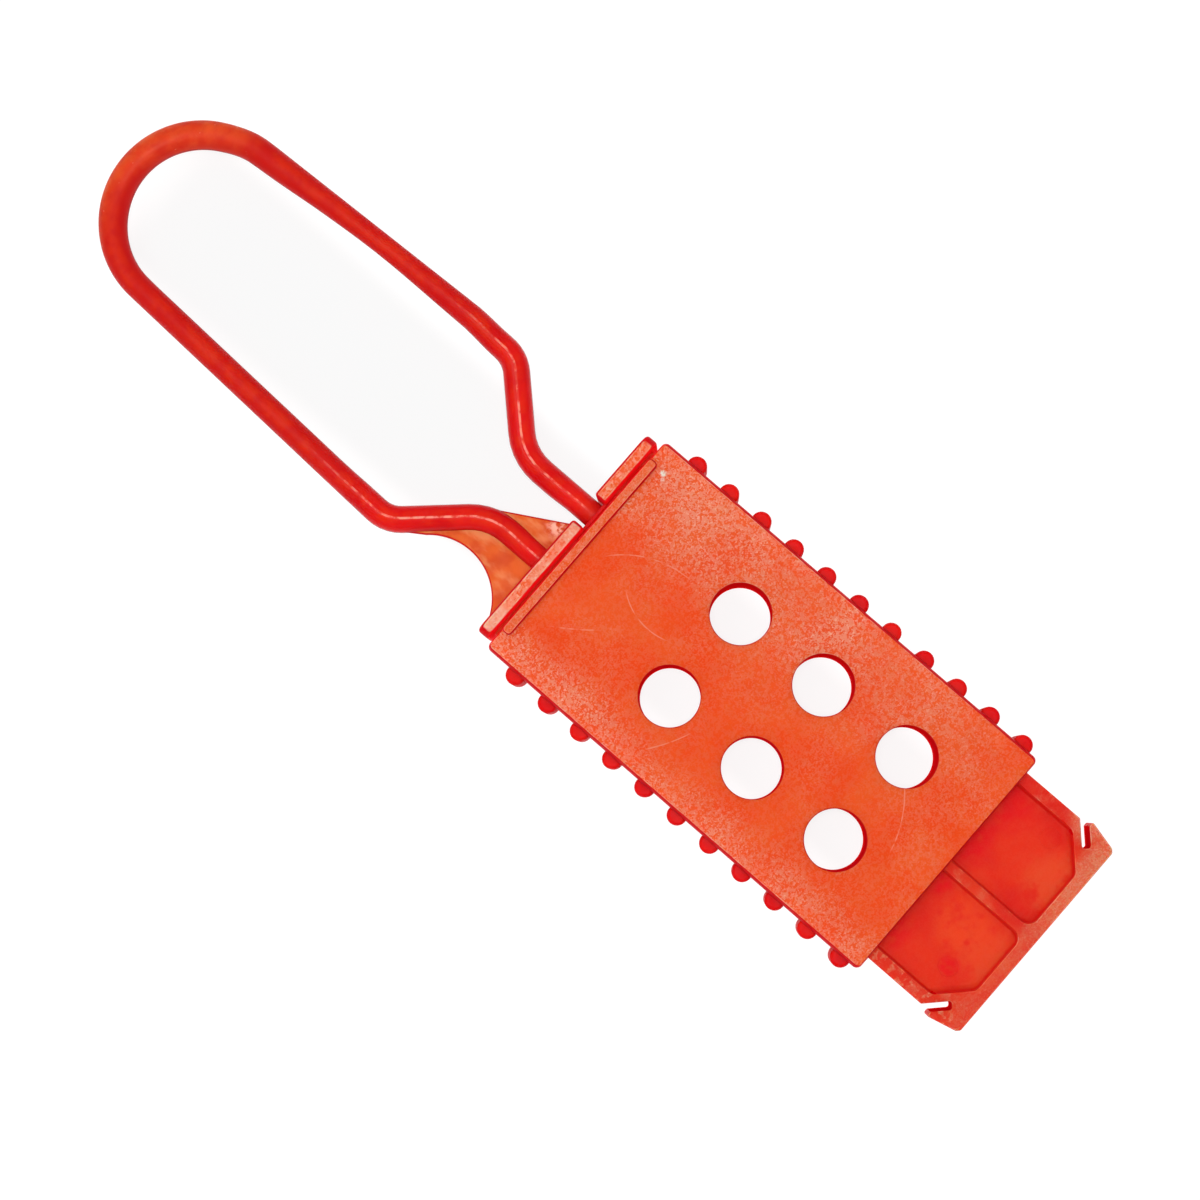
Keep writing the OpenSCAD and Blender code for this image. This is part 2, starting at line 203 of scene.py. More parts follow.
class Shell:
    """A closed mesh built from rings of points whose normals are known."""

    def __init__(self):
        self.points = []
        self.normals = []
        self.faces = []

    def place(self, axis, across, level):
        """Vector from a drawing plane's two numbers and one along the axis."""
        if axis == "z":
            return Vector((across[0], across[1], level))
        return Vector((across[0], level, across[1]))

    def ring(self, outline, offset, level, tilt, axis):
        """Adds an outline, grown by offset, at a level, its normals tilted towards the axis.
        offset and tilt hold a number for each of the drawing plane's directions."""
        first = len(self.points)
        for point, normal in outline:
            shift = Vector((offset[0] * normal.x, offset[1] * normal.y))
            lean = tilt[0] * normal.x ** 2 + tilt[1] * normal.y ** 2
            self.points.append(self.place(axis, point + shift, level))
            self.normals.append(self.place(axis, math.cos(lean) * normal, math.sin(lean)))
        return list(range(first, len(self.points)))

    def wall(self, outline, profile, axis="z", gaps=()):
        """Adds a wall round an outline, and returns its first and last ring and the sides of its gaps.
        A gap is the place in the outline of a straight stretch that the longest step leaves open."""
        rings = [self.ring(outline, *step, axis) for step in profile]
        spans = [abs(profile[k + 1][1] - profile[k][1]) for k in range(len(profile) - 1)]
        longest = spans.index(max(spans))
        openings = []
        for k in range(len(rings) - 1):
            low, high = rings[k], rings[k + 1]
            for i in range(len(outline)):
                j = (i + 1) % len(outline)
                if k == longest and i in gaps:
                    openings.append([low[i], low[j], high[j], high[i]])
                else:
                    self.faces.append([low[i], low[j], high[j], high[i]])
        return rings[0], rings[-1], openings

    def cap(self, *rings):
        """Fills the flat region between an outer ring and the rings of its holes."""
        indices = [i for ring in rings for i in ring]
        spread = [max(self.points[i][n] for i in indices) - min(self.points[i][n] for i in indices)
                  for n in range(3)]
        flat = spread.index(min(spread))
        u, v = [n for n in range(3) if n != flat]
        lines = [[Vector((self.points[i][u], self.points[i][v], 0)) for i in ring] for ring in rings]
        for triangle in tessellate_polygon(lines):
            self.faces.append([indices[i] for i in triangle])

    def outward(self, face):
        """The face, turned so that it looks the way its normals do."""
        spokes = [self.points[i] - self.points[face[0]] for i in face]
        facing = sum((a.cross(b) for a, b in zip(spokes[1:], spokes[2:])), Vector())
        wanted = sum((self.normals[i] for i in face), Vector())
        return face if facing.dot(wanted) > 0 else face[::-1]

    def piece(self, name):
        """Makes the object, smooth shaded with its exact normals."""
        mesh = bpy.data.meshes.new(name)
        mesh.from_pydata([p * MM for p in self.points], [], [self.outward(f) for f in self.faces])
        mesh.shade_smooth()
        mesh.normals_split_custom_set_from_vertices([n.normalized() for n in self.normals])
        piece = bpy.data.objects.new(name, mesh)
        bpy.context.scene.collection.objects.link(piece)
        return piece


def slab(shell, outline, low, high, edge, axis="z"):
    """Adds a closed slab with rounded edges to a shell."""
    bottom, top, _ = shell.wall(outline, slab_profile(low, high, edge, edge), axis)
    shell.cap(bottom)
    shell.cap(top)


def rectangle(low_x, low_y, high_x, high_y, r):
    """Corners of a rounded rectangle, with the material inside."""
    return [(low_x, low_y, r), (high_x, low_y, r), (high_x, high_y, r), (low_x, high_y, r)]


def straights(outline, corners, chosen):
    """Places in an outline where the straight stretches after the chosen corners start."""
    per_corner = len(outline) // corners
    return [(i + 1) * per_corner - 1 for i in chosen]


# ---------------------------------------------------------------- sleeve


def sleeve_shell():
    """Tunnel open at both ends, with six holes through both of its broad walls."""
    shell = Shell()
    outline = round_outline(
        rectangle(-SLEEVE_HALF, SLEEVE_LOW.y, SLEEVE_HALF, SLEEVE_TOP.y, SLEEVE_CORNER))
    profile = (curved(BACK_LOW.z, DRAFT, DRAFT_H, -1, inner=False)[::-1]
               + curved(SLEEVE_TOP.z, DRAFT, DRAFT_H, 1, inner=False))
    painted_shade, face, ends = shell.wall(outline, profile, gaps=straights(outline, 4, (0, 2)))

    tunnel = round_outline(
        rectangle(-SIDE_LOW.x, BACK_TOP.z, SIDE_LOW.x, SLEEVE_LOW.z, SLEEVE_EDGE)[::-1])
    along_y = slab_profile(SLEEVE_LOW.y, SLEEVE_TOP.y, RIM, RIM)
    tail, mouth, broad = shell.wall(tunnel, along_y, "y", straights(tunnel, 4, (0, 2)))
    shell.cap(ends[0], tail)
    shell.cap(ends[1], mouth)

    levels = [(SLEEVE_LOW.z, SLEEVE_TOP.z, INNER_RIM, RIM), (BACK_LOW.z, BACK_TOP.z, RIM, INNER_RIM)]
    front, back = [
        [shell.wall(circle_outline(h.x, h.y, HOLE_R, hole=True), slab_profile(*level)) for h in HOLES]
        for level in levels
    ]
    shell.cap(face, *[hole[1] for hole in front])
    shell.cap(painted_shade, *[hole[0] for hole in back])
    ceiling = max(broad, key=lambda side: shell.points[side[0]].z)
    ground = min(broad, key=lambda side: shell.points[side[0]].z)
    shell.cap(ceiling, *[hole[0] for hole in front])
    shell.cap(ground, *[hole[1] for hole in back])
    return shell.piece("sleeve_shell")


def sleeve_rib():
    """Low raised bar across the face at the shackle end, sunk a little into it."""
    shell = Shell()
    end_r = 0.8 * (RIB_TOP.y - RIB_LOW.y) / 2
    outline = round_outline(rectangle(RIB_LOW.x, RIB_LOW.y, RIB_TOP.x, RIB_TOP.y, end_r))
    slab(shell, outline, RIB_LOW.z - SLEEVE_EDGE, RIB_TOP.z, RIB_EDGE)
    return shell.piece("sleeve_rib")


def grips(name, side):
    """Row of upright beads with domed ends, sunk into the sleeve's side."""
    shell = Shell()
    bead_r = 1.5
    dome = 0.55
    usual_pitch = 6.14
    row_l = BEADS_TOP.y - BEADS_LOW.y - 2 * bead_r
    gaps = round(row_l / usual_pitch)
    pitch = row_l / gaps
    for i in range(gaps + 1):
        y = BEADS_LOW.y + bead_r + i * pitch
        outline = circle_outline(side * (BEADS_TOP.x - bead_r), y, bead_r)[::4]
        slab(shell, outline, BEADS_LOW.z, BEADS_TOP.z, dome)
    return shell.piece(name)


# ---------------------------------------------------------------- slider

BAND_W = 1.2
SLOT_ANGLE = math.radians(44)
SLOT_W = 1.2
SLOT_L = 4.3
SLOT_END_R = 0.4
POCKET_WALL = 1.3
BARB_TAPER = 1.1
BARB_CHAMFER = 0.5
LIP_OVERLAP = 0.4
LIP_SINK = 0.05
EJECTOR_MARKS = [(-10.8, -81.0), (12.6, -80.1)]


def slot_corners():
    """The slot beside the right barb: mouth above, bottom above, bottom below, mouth below."""
    inward = -along(SLOT_ANGLE)
    across = Vector((math.sin(SLOT_ANGLE), -math.cos(SLOT_ANGLE)))
    mouth = Vector((RAIL_TOP.x, BARB_TOP.y + SLOT_W / math.cos(SLOT_ANGLE)))
    end = mouth + SLOT_L * inward
    return mouth, end, end + SLOT_W * across, Vector((RAIL_TOP.x, BARB_TOP.y))


def plate_side():
    """Corners up the plate's right-hand side, from the tail's middle to the flange."""
    mouth, end, end_low, mouth_low = slot_corners()
    tip_x = BARB_TOP.x
    corner_r = 0.3
    tail_r = 0.6
    taper_r = 0.5
    return [
        (tip_x - BARB_TAPER - BARB_CHAMFER, TAIL_Y, tail_r),
        (tip_x - BARB_TAPER, TAIL_Y + BARB_CHAMFER, taper_r),
        (tip_x, BARB_TOP.y, corner_r),
        (mouth_low.x, mouth_low.y, corner_r),
        (end_low.x, end_low.y, SLOT_END_R),
        (end.x, end.y, SLOT_END_R),
        (mouth.x, mouth.y, corner_r),
        (RAIL_TOP.x, LEFT_LIP_LOW.y + LIP_OVERLAP, corner_r),
    ]


def tail_pocket(inner_x, top):
    """Corners of the pocket on the right of the middle strip. top are its corners by the flange."""
    mouth = slot_corners()[0]
    band = mouth - BAND_W * Vector((math.sin(SLOT_ANGLE), -math.cos(SLOT_ANGLE)))
    rail_x = FLOOR_TOP.x
    slope = math.tan(SLOT_ANGLE)
    return [
        (inner_x, BAR_TOP.y, POCKET_CORNER),
        *top,
        (rail_x, top[-1][1], POCKET_CORNER),
        (rail_x, band.y + (rail_x - band.x) * slope, POCKET_CORNER),
        (band.x + (BAR_TOP.y - band.y) / slope, BAR_TOP.y, POCKET_CORNER),
    ]


def pocket_wall(shell, outline, foot):
    """Adds a blind pocket's walls above and below the floor, with a rounding foot wide at their
    feet, and returns the four edge rings: upper rim, upper floor, lower rim, lower floor."""
    upper = rounding(RAIL_TOP.z, PLATE_EDGE, 1)[::-1] + root(FLOOR_TOP.z, foot, ROOT_H, 1)
    lower = rounding(RAIL_LOW.z, PLATE_EDGE, -1)[::-1] + root(FLOOR_LOW.z, foot, ROOT_H, -1)
    return [*shell.wall(outline, upper)[:2], *shell.wall(outline, lower)[:2]]


def ejector_mark(shell, x, y):
    """Shallow round recess that an ejector pin left in the floor, and returns its rim."""
    mark_r = 1.5
    depth = 0.09
    soft = 0.04
    profile = rounding(FLOOR_TOP.z, soft, 1)[::-1] + root(FLOOR_TOP.z - depth, soft, soft, 1)
    rim, bottom, _ = shell.wall(circle_outline(x, y, mark_r, hole=True)[::3], profile)
    shell.cap(bottom)
    return rim


def slider_plate():
    """Plate with rails, tail bar, barbs, middle strip, hole bosses and the foot's pocket."""
    shell = Shell()
    half_strip = STRIP_TOP.x
    edge_y = LEFT_LIP_LOW.y - LIP_SINK
    right_side = plate_side()
    outline = round_outline(right_side + mirrored(right_side))
    profile = slab_profile(RAIL_LOW.z, RAIL_TOP.z, PLATE_EDGE, PLATE_EDGE)
    painted_shade, face, _ = shell.wall(outline, profile)

    # The left pocket and the foot's hole end a little short of the right pocket
    left_short = 0.15
    foot_short = 0.1
    foot_corner = 0.4
    right_top = [(half_strip, POCKET_LOW.y, POCKET_CORNER), (POCKET_TOP.x, POCKET_LOW.y, foot_corner),
                 (POCKET_TOP.x, edge_y, POCKET_CORNER)]
    left_top = [(half_strip, edge_y - left_short, POCKET_CORNER)]
    right_pocket = round_outline(tail_pocket(half_strip, right_top))
    left_pocket = round_outline(mirrored(tail_pocket(half_strip, left_top)))
    pockets = [pocket_wall(shell, left_pocket, ROOT), pocket_wall(shell, right_pocket, ROOT)]

    foot_hole = rectangle(POCKET_LOW.x + POCKET_WALL, POCKET_LOW.y + POCKET_WALL,
                          POCKET_TOP.x - POCKET_WALL, edge_y - foot_short, foot_corner)[::-1]
    foot_low, foot_high, _ = shell.wall(round_outline(foot_hole), profile)
    shell.cap(face, pockets[0][0], pockets[1][0], foot_high)
    shell.cap(painted_shade, pockets[0][2], pockets[1][2], foot_low)

    bosses = [[], []]
    for hole in HOLES:
        outer = pocket_wall(shell, circle_outline(hole.x, hole.y, BOSS_R), ROOT[0])
        bore_low, bore_high, _ = shell.wall(circle_outline(hole.x, hole.y, HOLE_R, hole=True), profile)
        shell.cap(outer[0], bore_high)
        shell.cap(outer[2], bore_low)
        bosses[hole.x > 0].append(outer)

    marks = [ejector_mark(shell, *place) for place in EJECTOR_MARKS]
    for pocket, group, mark in zip(pockets, bosses, marks):
        shell.cap(pocket[1], *[boss[1] for boss in group], mark)
        shell.cap(pocket[3], *[boss[3] for boss in group])
    return shell.piece("slider_plate")


def flange_lip(name, low, high, round_side):
    """One half of the flange: a bar with one end fully rounded in X and Z."""
    shell = Shell()
    gate_r = 0.6
    r_low_x, r_high_x = (LIP_END_R, gate_r) if round_side < 0 else (gate_r, LIP_END_R)
    corners = [(low.x, low.z, r_low_x), (high.x, low.z, r_high_x),
               (high.x, high.z, r_high_x), (low.x, high.z, r_low_x)]
    slab(shell, round_outline(corners), low.y, high.y, LIP_EDGE, axis="y")
    return shell.piece(name)


# ---------------------------------------------------------------- shackle

ARM_LEAN = math.radians(2.3)
FLANGE_Y = LEFT_LIP_TOP.y
ARCH_R = ARCH_TOP.x
ROD_R = (ARCH_TOP.z - ARCH_LOW.z) / 2
ARCH_Y = ARCH_TOP.y - ARCH_R
LEG_X = LEG_LOW.x + ROD_R
SHOULDER_R = 5.5
NECK_R = 8.5
FIXED_SHOULDER_Y = FLANGE_Y + 21.05
FIXED_NECK_Y = FLANGE_Y + 9.8
FREE_SHOULDER_Y = FLANGE_Y + 22.65
FREE_NECK_Y = FLANGE_Y + 12.05
THICKER_CROWN = 0.34
THICKER_END = 0.17
THICKER_LEG = 0.1
THINNER_ARM = 0.32
ARM_BOW = 0.48
ROD_SIDES = 48
PATH_STEP = 1.6
ARCH_STEPS = 72

# Stretches of Y over which the rod's thickness or bow sets in, or fades out again
CROWN_IN = (ARCH_Y - 4, ARCH_TOP.y - 1.5)
END_IN = (60, 73)
LEG_IN = (3, 7)
LEG_OUT = (24, 34)
WAIST_IN = (29, 50)
WAIST_OUT = (50, 70)
BOW_IN = (26, 33)
BOW_OUT = (72, 79)


def arm_x(y):
    """X of the right-hand arm's middle line at height y."""
    line_r = ARCH_R - ROD_R
    return line_r * math.cos(ARM_LEAN) + (ARCH_Y + line_r * math.sin(ARM_LEAN) - y) * math.tan(ARM_LEAN)


def leg_line(shoulder_y, neck_y, end_y):
    """Middle line of a right-hand leg, from the arch's end down to its own end."""
    line_r = ARCH_R - ROD_R
    arm_top = Vector((line_r * math.cos(ARM_LEAN), ARCH_Y + line_r * math.sin(ARM_LEAN)))
    shoulder = (arm_x(shoulder_y), shoulder_y)
    neck = (LEG_X, neck_y)
    end = Vector((LEG_X, end_y))
    points = [arm_top]
    points += [p for p, _ in corner_points(arm_top, shoulder, neck, SHOULDER_R)]
    points += [p for p, _ in corner_points(shoulder, neck, end, NECK_R)]
    return points + [end]


def evenly(points, step):
    """The same line with no stretch longer than step."""
    line = [points[0]]
    for start, end in zip(points, points[1:]):
        parts = max(1, math.ceil((end - start).length / step))
        line += [start.lerp(end, (k + 1) / parts) for k in range(parts)]
    return line


def smooth_step(low, high, value):
    """0 below low, 1 above high and a smooth curve between."""
    t = min(1.0, max(0.0, (value - low) / (high - low)))
    return t * t * (3 - 2 * t)


def rod_radius(point):
    """The rod is thicker at the arch's crown, at its free end and on the legs, and thinner half-way
    down the free arm."""
    free = point.x > 0
    askew = 0.12
    crown = smooth_step(*CROWN_IN, point.y + askew * point.x)
    end = smooth_step(*END_IN, point.y) * (1 - crown) * free
    leg = smooth_step(*LEG_IN, point.y) * (1 - smooth_step(*LEG_OUT, point.y))
    waist = smooth_step(*WAIST_IN, point.y) * (1 - smooth_step(*WAIST_OUT, point.y)) * free
    return ROD_R + THICKER_CROWN * crown + THICKER_END * end + THICKER_LEG * leg - THINNER_ARM * waist


def arm_bow(point):
    """How far out the free arm lies from its straight middle line."""
    if point.x < 0:
        return 0.0
    return ARM_BOW * smooth_step(*BOW_IN, point.y) * (1 - smooth_step(*BOW_OUT, point.y))


def shackle_line():
    """Middle line of the whole rod, from the fixed leg's root over the arch to the free leg's end."""
    root_sink = 0.6
    fixed = leg_line(FIXED_SHOULDER_Y, FIXED_NECK_Y, FLANGE_Y - root_sink)
    free = leg_line(FREE_SHOULDER_Y, FREE_NECK_Y, FOOT_TOP.y)
    line_r = ARCH_R - ROD_R
    turn = math.pi - 2 * ARM_LEAN
    arch = [
        Vector((0, ARCH_Y)) + line_r * along(math.pi - ARM_LEAN - turn * k / ARCH_STEPS)
        for k in range(1, ARCH_STEPS)
    ]
    left = [Vector((-p.x, p.y)) for p in reversed(fixed)]
    return evenly(left + arch + free, PATH_STEP)


def shackle_loop():
    """One continuous rod with a faint parting line along both of its sides."""
    shell = Shell()
    line = shackle_line()
    ridge = 0.035
    end_round = 0.5
    rings = []
    last = len(line) - 1
    for k, point in enumerate(line):
        ahead = (line[min(k + 1, last)] - line[max(k - 1, 0)]).normalized()
        right = Vector((ahead.y, -ahead.x))
        radius = rod_radius(point)
        middle = point + right * (radius - ROD_R - arm_bow(point))
        ring = []
        for i in range(ROD_SIDES):
            angle = 2 * math.pi * i / ROD_SIDES
            reach = radius - (0 if i % (ROD_SIDES // 2) == 0 else ridge)
            across = middle + right * reach * math.cos(angle)
            ring.append(len(shell.points))
            shell.points.append(Vector((across.x, across.y, MID_Z + reach * math.sin(angle))))
            side = right * math.cos(angle)
            shell.normals.append(Vector((side.x, side.y, math.sin(angle))))
        rings.append(ring)
    for low, high in zip(rings, rings[1:]):
        for i in range(ROD_SIDES):
            j = (i + 1) % ROD_SIDES
            shell.faces.append([low[i], low[j], high[j], high[i]])
    for ring, way in ((rings[0], (line[0] - line[1])), (rings[-1], (line[-1] - line[-2]))):
        add_rod_end(shell, ring, way.normalized(), end_round)
    return shell.piece("shackle_loop")


def add_rod_end(shell, ring, way, r):
    """Closes a rod with a flat end whose edge is rounded to radius r, inside the rod's length."""
    middle = sum((shell.points[i] for i in ring), Vector()) / len(ring)
    outward = Vector((way.x, way.y, 0))
    before = ring
    for i in ring:
        shell.points[i] -= outward * r
    for a in quarter()[1:]:
        fresh = []
        for i in ring:
            spoke = (shell.points[i] + outward * r - middle)
            reach = spoke.length - r + r * math.cos(a)
            fresh.append(len(shell.points))
            shell.points.append(middle + spoke.normalized() * reach - outward * r * (1 - math.sin(a)))
            shell.normals.append(spoke.normalized() * math.cos(a) + outward * math.sin(a))
        for k in range(len(ring)):
            j = (k + 1) % len(ring)
            shell.faces.append([before[k], before[j], fresh[j], fresh[k]])
        before = fresh
    shell.faces.append(before)


def leg_web():
    """Thin web on both sides of the fixed leg, its ends sunk into the rod and the flange.
    Its outer edge is an arc of radius web_r that runs gap outside the rod, then fades into it."""
    shell = Shell()
    web_r = 9.35
    web_y = FLANGE_Y + 8.95
    gap = 0.39
    fade = 3.4
    fade_rise = 1.36 * gap
    rod_sink = 0.6 * ROD_R
    sink_y = FLANGE_Y - 0.2
    corner_r = 0.45
    edge = 0.4
    past_leg = 0.4
    above_neck = 1.83
    arc_steps = 40
    slope = math.atan2(FIXED_SHOULDER_Y - FIXED_NECK_Y, arm_x(FIXED_SHOULDER_Y) - LEG_X)
    reach = (web_r + gap + ROD_R) / math.sin(slope)
    middle = Vector((-LEG_X - (web_y - FIXED_NECK_Y) / math.tan(slope) - reach, web_y))
    top_angle = math.pi / 2 - slope
    low_angle = math.asin((sink_y - web_y) / web_r)
    to_rod = along(top_angle)
    up_rod = along(top_angle + math.pi / 2)
    arc_end = middle + web_r * to_rod
    fade_end = arc_end + fade * up_rod + fade_rise * to_rod
    top_end = fade_end + rod_sink * to_rod
    inner_end = (-LEG_X + past_leg, FIXED_NECK_Y + above_neck)
    arc = []
    for k in range(arc_steps + 1):
        out = along(top_angle + (low_angle - top_angle) * k / arc_steps)
        arc.append((middle + web_r * out, -out))
    last = arc[-1][0]
    inner = (WEB_TOP.x, sink_y)
    outline = corner_points(last, inner, inner_end, corner_r)
    outline += corner_points(inner, inner_end, top_end, corner_r)
    outline += corner_points(inner_end, top_end, fade_end, corner_r)
    outline += corner_points(top_end, fade_end, arc_end, corner_r)
    slab(shell, outline + arc, WEB_LOW.z, WEB_TOP.z, edge)
    return shell.piece("fixed_leg_web")


def foot_tab():
    """Cross-piece on the free leg's end, with a neck that runs up inside the rod."""
    shell = Shell()
    neck = 1.2
    soft = 0.3
    corners = [
        (FOOT_LOW.x, FOOT_LOW.y, soft), (FOOT_TOP.x, FOOT_LOW.y, soft), (FOOT_TOP.x, FOOT_TOP.y, soft),
        (LEG_X + neck, FOOT_TOP.y, soft), (LEG_X + neck, FOOT_TOP.y + neck, soft),
        (LEG_X - neck, FOOT_TOP.y + neck, soft), (LEG_X - neck, FOOT_TOP.y, soft),
        (FOOT_LOW.x, FOOT_TOP.y, soft),
    ]
    slab(shell, round_outline(corners), FOOT_LOW.z, FOOT_TOP.z, RIM)
    return shell.piece("foot_tab")


# ---------------------------------------------------------------- materials


def srgb(red, green, blue):
    """Linear colour from the 0 to 255 values that a picture shows."""
    def linear(value):
        value /= 255
        return value / 12.92 if value <= 0.04045 else ((value + 0.055) / 1.055) ** 2.4
    return (linear(red), linear(green), linear(blue), 1.0)


class Paint:
    """One procedural material while its nodes are being put together."""

    def __init__(self, name):
        self.material = bpy.data.materials.new(name)
        self.material.use_nodes = True
        self.tree = self.material.node_tree
        self.tree.nodes.clear()
        coordinates = self.tree.nodes.new("ShaderNodeTexCoord")
        self.here = coordinates.outputs["Object"]
        self.facing = coordinates.outputs["Normal"]

    def put(self, socket, value):
        """Joins a socket to another one, or sets its value."""
        if isinstance(value, bpy.types.NodeSocket):
            self.tree.links.new(value, socket)
        else:
            socket.default_value = value

    def noise(self, size, detail=2.0, rough=0.5, stretch=(1, 1, 1), turn=0.0, shift=0.0):
        """Cloudy pattern from 0 to 1 whose lumps are about size millimetres."""
        mapping = self.tree.nodes.new("ShaderNodeMapping")
        self.put(mapping.inputs["Vector"], self.here)
        self.put(mapping.inputs["Location"], (shift, shift, shift))
        self.put(mapping.inputs["Rotation"], (0, 0, turn))
        self.put(mapping.inputs["Scale"], [s / (size * MM) for s in stretch])
        noise = self.tree.nodes.new("ShaderNodeTexNoise")
        self.put(noise.inputs["Vector"], mapping.outputs["Vector"])
        self.put(noise.inputs["Scale"], 1.0)
        self.put(noise.inputs["Detail"], detail)
        self.put(noise.inputs["Roughness"], rough)
        return noise.outputs["Fac"]

    def part(self, vector, axis):
        """One of a vector's three numbers."""
        split = self.tree.nodes.new("ShaderNodeSeparateXYZ")
        self.put(split.inputs[0], vector)
        return split.outputs[axis]

    def mm(self, axis):
        """Where a point is along an axis, in millimetres."""
        return self.calc("DIVIDE", self.part(self.here, axis), MM)

    def away(self, x, y):
        """Distance from the place x, y in plan, in millimetres."""
        across = self.calc("SUBTRACT", self.mm("X"), x)
        up = self.calc("SUBTRACT", self.mm("Y"), y)
        squares = self.calc("ADD", self.times(across, across), self.times(up, up))
        return self.calc("SQRT", squares)

    def calc(self, operation, first, second=0.0, third=0.0):
        """Result of a calculation on numbers."""
        node = self.tree.nodes.new("ShaderNodeMath")
        node.operation = operation
        self.put(node.inputs[0], first)
        self.put(node.inputs[1], second)
        self.put(node.inputs[2], third)
        return node.outputs["Value"]

    def times(self, first, second):
        """One number times another."""
        return self.calc("MULTIPLY", first, second)

    def larger(self, first, second):
        """The larger of two numbers."""
        return self.calc("MAXIMUM", first, second)

    def size_of(self, value):
        """A number without its sign."""
        return self.calc("ABSOLUTE", value)

    def span(self, value, low, high, start=0.0, end=1.0):
        """Start below low, end above high, and a smooth change between."""
        node = self.tree.nodes.new("ShaderNodeMapRange")
        node.interpolation_type = "SMOOTHSTEP"
        self.put(node.inputs["Value"], value)
        self.put(node.inputs["From Min"], low)
        self.put(node.inputs["From Max"], high)
        self.put(node.inputs["To Min"], start)
        self.put(node.inputs["To Max"], end)
        return node.outputs["Result"]

    def mix(self, share, first, second):
        """Colour between two others."""
        node = self.tree.nodes.new("ShaderNodeMix")
        node.data_type = "RGBA"
        self.put(node.inputs["Factor"], share)
        self.put(node.inputs["A"], first)
        self.put(node.inputs["B"], second)
        return node.outputs["Result"]

    def bump(self, height, depth, painted_shade=None):
        """Normal of a surface that rises by depth millimetres where height is 1."""
        node = self.tree.nodes.new("ShaderNodeBump")
        self.put(node.inputs["Height"], height)
        self.put(node.inputs["Distance"], depth * MM)
        if painted_shade is not None:
            self.put(node.inputs["Normal"], painted_shade)
        return node.outputs["Normal"]

    def done(self, colour, roughness, normal, glow=0.0, specular=0.5, light=0.0, tint=(1, 1, 1, 1)):
        """Ends the material, with a share glow of its light spread under its skin, as in nylon, and a
        tinted light of its own."""
        shader = self.tree.nodes.new("ShaderNodeBsdfPrincipled")
        self.put(shader.inputs["Base Color"], colour)
        self.put(shader.inputs["Roughness"], roughness)
        self.put(shader.inputs["Normal"], normal)
        self.put(shader.inputs["IOR"], 1.53)
        self.put(shader.inputs["Specular IOR Level"], specular)
        self.put(shader.inputs["Subsurface Weight"], glow)
        self.put(shader.inputs["Subsurface Radius"], (1.0, 0.15, 0.06))
        self.put(shader.inputs["Subsurface Scale"], 3 * MM)
        self.put(shader.inputs["Emission Color"], tint)
        self.put(shader.inputs["Emission Strength"], light)
        end = self.tree.nodes.new("ShaderNodeOutputMaterial")
        self.put(end.inputs["Surface"], shader.outputs["BSDF"])
        return self.material


# Middle of the crack between the sleeve and the flange
CRACK_Y = (SLEEVE_TOP.y + LEFT_LIP_LOW.y) / 2

ORANGE = srgb(241, 76, 16)
TANGERINE = srgb(242, 90, 30)
PINK = srgb(246, 144, 114)
CREAM = srgb(255, 200, 176)
WHITISH = srgb(255, 234, 222)
SCARLET = srgb(217, 37, 24)
RED = srgb(208, 12, 14)
CRIMSON = srgb(198, 5, 18)
DEEP_RED = srgb(222, 14, 26)
TAIL_AMBER = srgb(224, 82, 40)


def frosted_face(paint):
    """Frosting of the sleeve's face: thick along its long edges, thin down the middle."""
    x = paint.mm("X")
    y = paint.mm("Y")
    right = paint.times(paint.span(x, 3, 14), paint.span(y, -64, -36, 0.25, 0.92))
    left = paint.times(paint.span(x, -19, -12, 0.95, 0), paint.span(y, -66, -40, 0.7, 1.0))
    clouds = paint.span(paint.noise(10, detail=3), 0.32, 0.68, 0.45, 1.0)
    band = paint.times(paint.larger(right, left), clouds)
    return paint.calc("ADD", band, paint.span(clouds, 0.5, 1.0, 0.0, 0.14))


def frosted_tail(paint):
    """Frosting of the slider: the bar at its tail, most on the right, and specks on its left rail."""
    x = paint.mm("X")
    y = paint.mm("Y")
    bar = paint.span(y, BAR_TOP.y - 0.6, BAR_TOP.y + 2.2, 1.0, 0.0)
    bar = paint.times(bar, paint.span(x, -8, 13, 0.28, 1.0))
    barb = paint.span(paint.away(BARB_TOP.x, BARB_TOP.y), 1.5, 4.5, 0.9, 0.0)
    high = paint.times(paint.span(paint.mm("Z"), RAIL_TOP.z - 0.3, RAIL_TOP.z - 0.1),
                       paint.span(y, SLEEVE_LOW.y, SLEEVE_LOW.y + 4, 1.0, 0.0))
    ragged = paint.span(paint.noise(2.5, detail=3, shift=8.2), 0.45, 0.7, 0.02, 0.4)
    chips = paint.span(paint.noise(0.9, detail=2, shift=3.7), 0.5, 0.62)
    left_rail = paint.times(chips, paint.span(x, -16, -14.6, 0.75, 0.0))
    rails = paint.larger(ragged, left_rail)
    return paint.times(high, paint.larger(rails, paint.larger(bar, barb)))


def frosted_lip(paint):
    """Frosting of the flange: thickest on the fixed leg's side."""
    return paint.span(paint.mm("X"), -16, 12, 1.0, 0.75)


def scratch(paint, x, y, angle, r, half_l):
    """Fine scratch past x, y, bent round a middle that lies r away at an angle in degrees."""
    to_middle = r * along(math.radians(angle))
    off = paint.size_of(paint.calc("SUBTRACT", paint.away(x + to_middle.x, y + to_middle.y), r))
    line = paint.times(paint.span(off, 0.03, 0.13, 1.0, 0.0),
                       paint.span(paint.away(x, y), 0.6 * half_l, half_l, 1.0, 0.0))
    return paint.times(line, paint.span(paint.noise(1.5, detail=2), 0.33, 0.52))


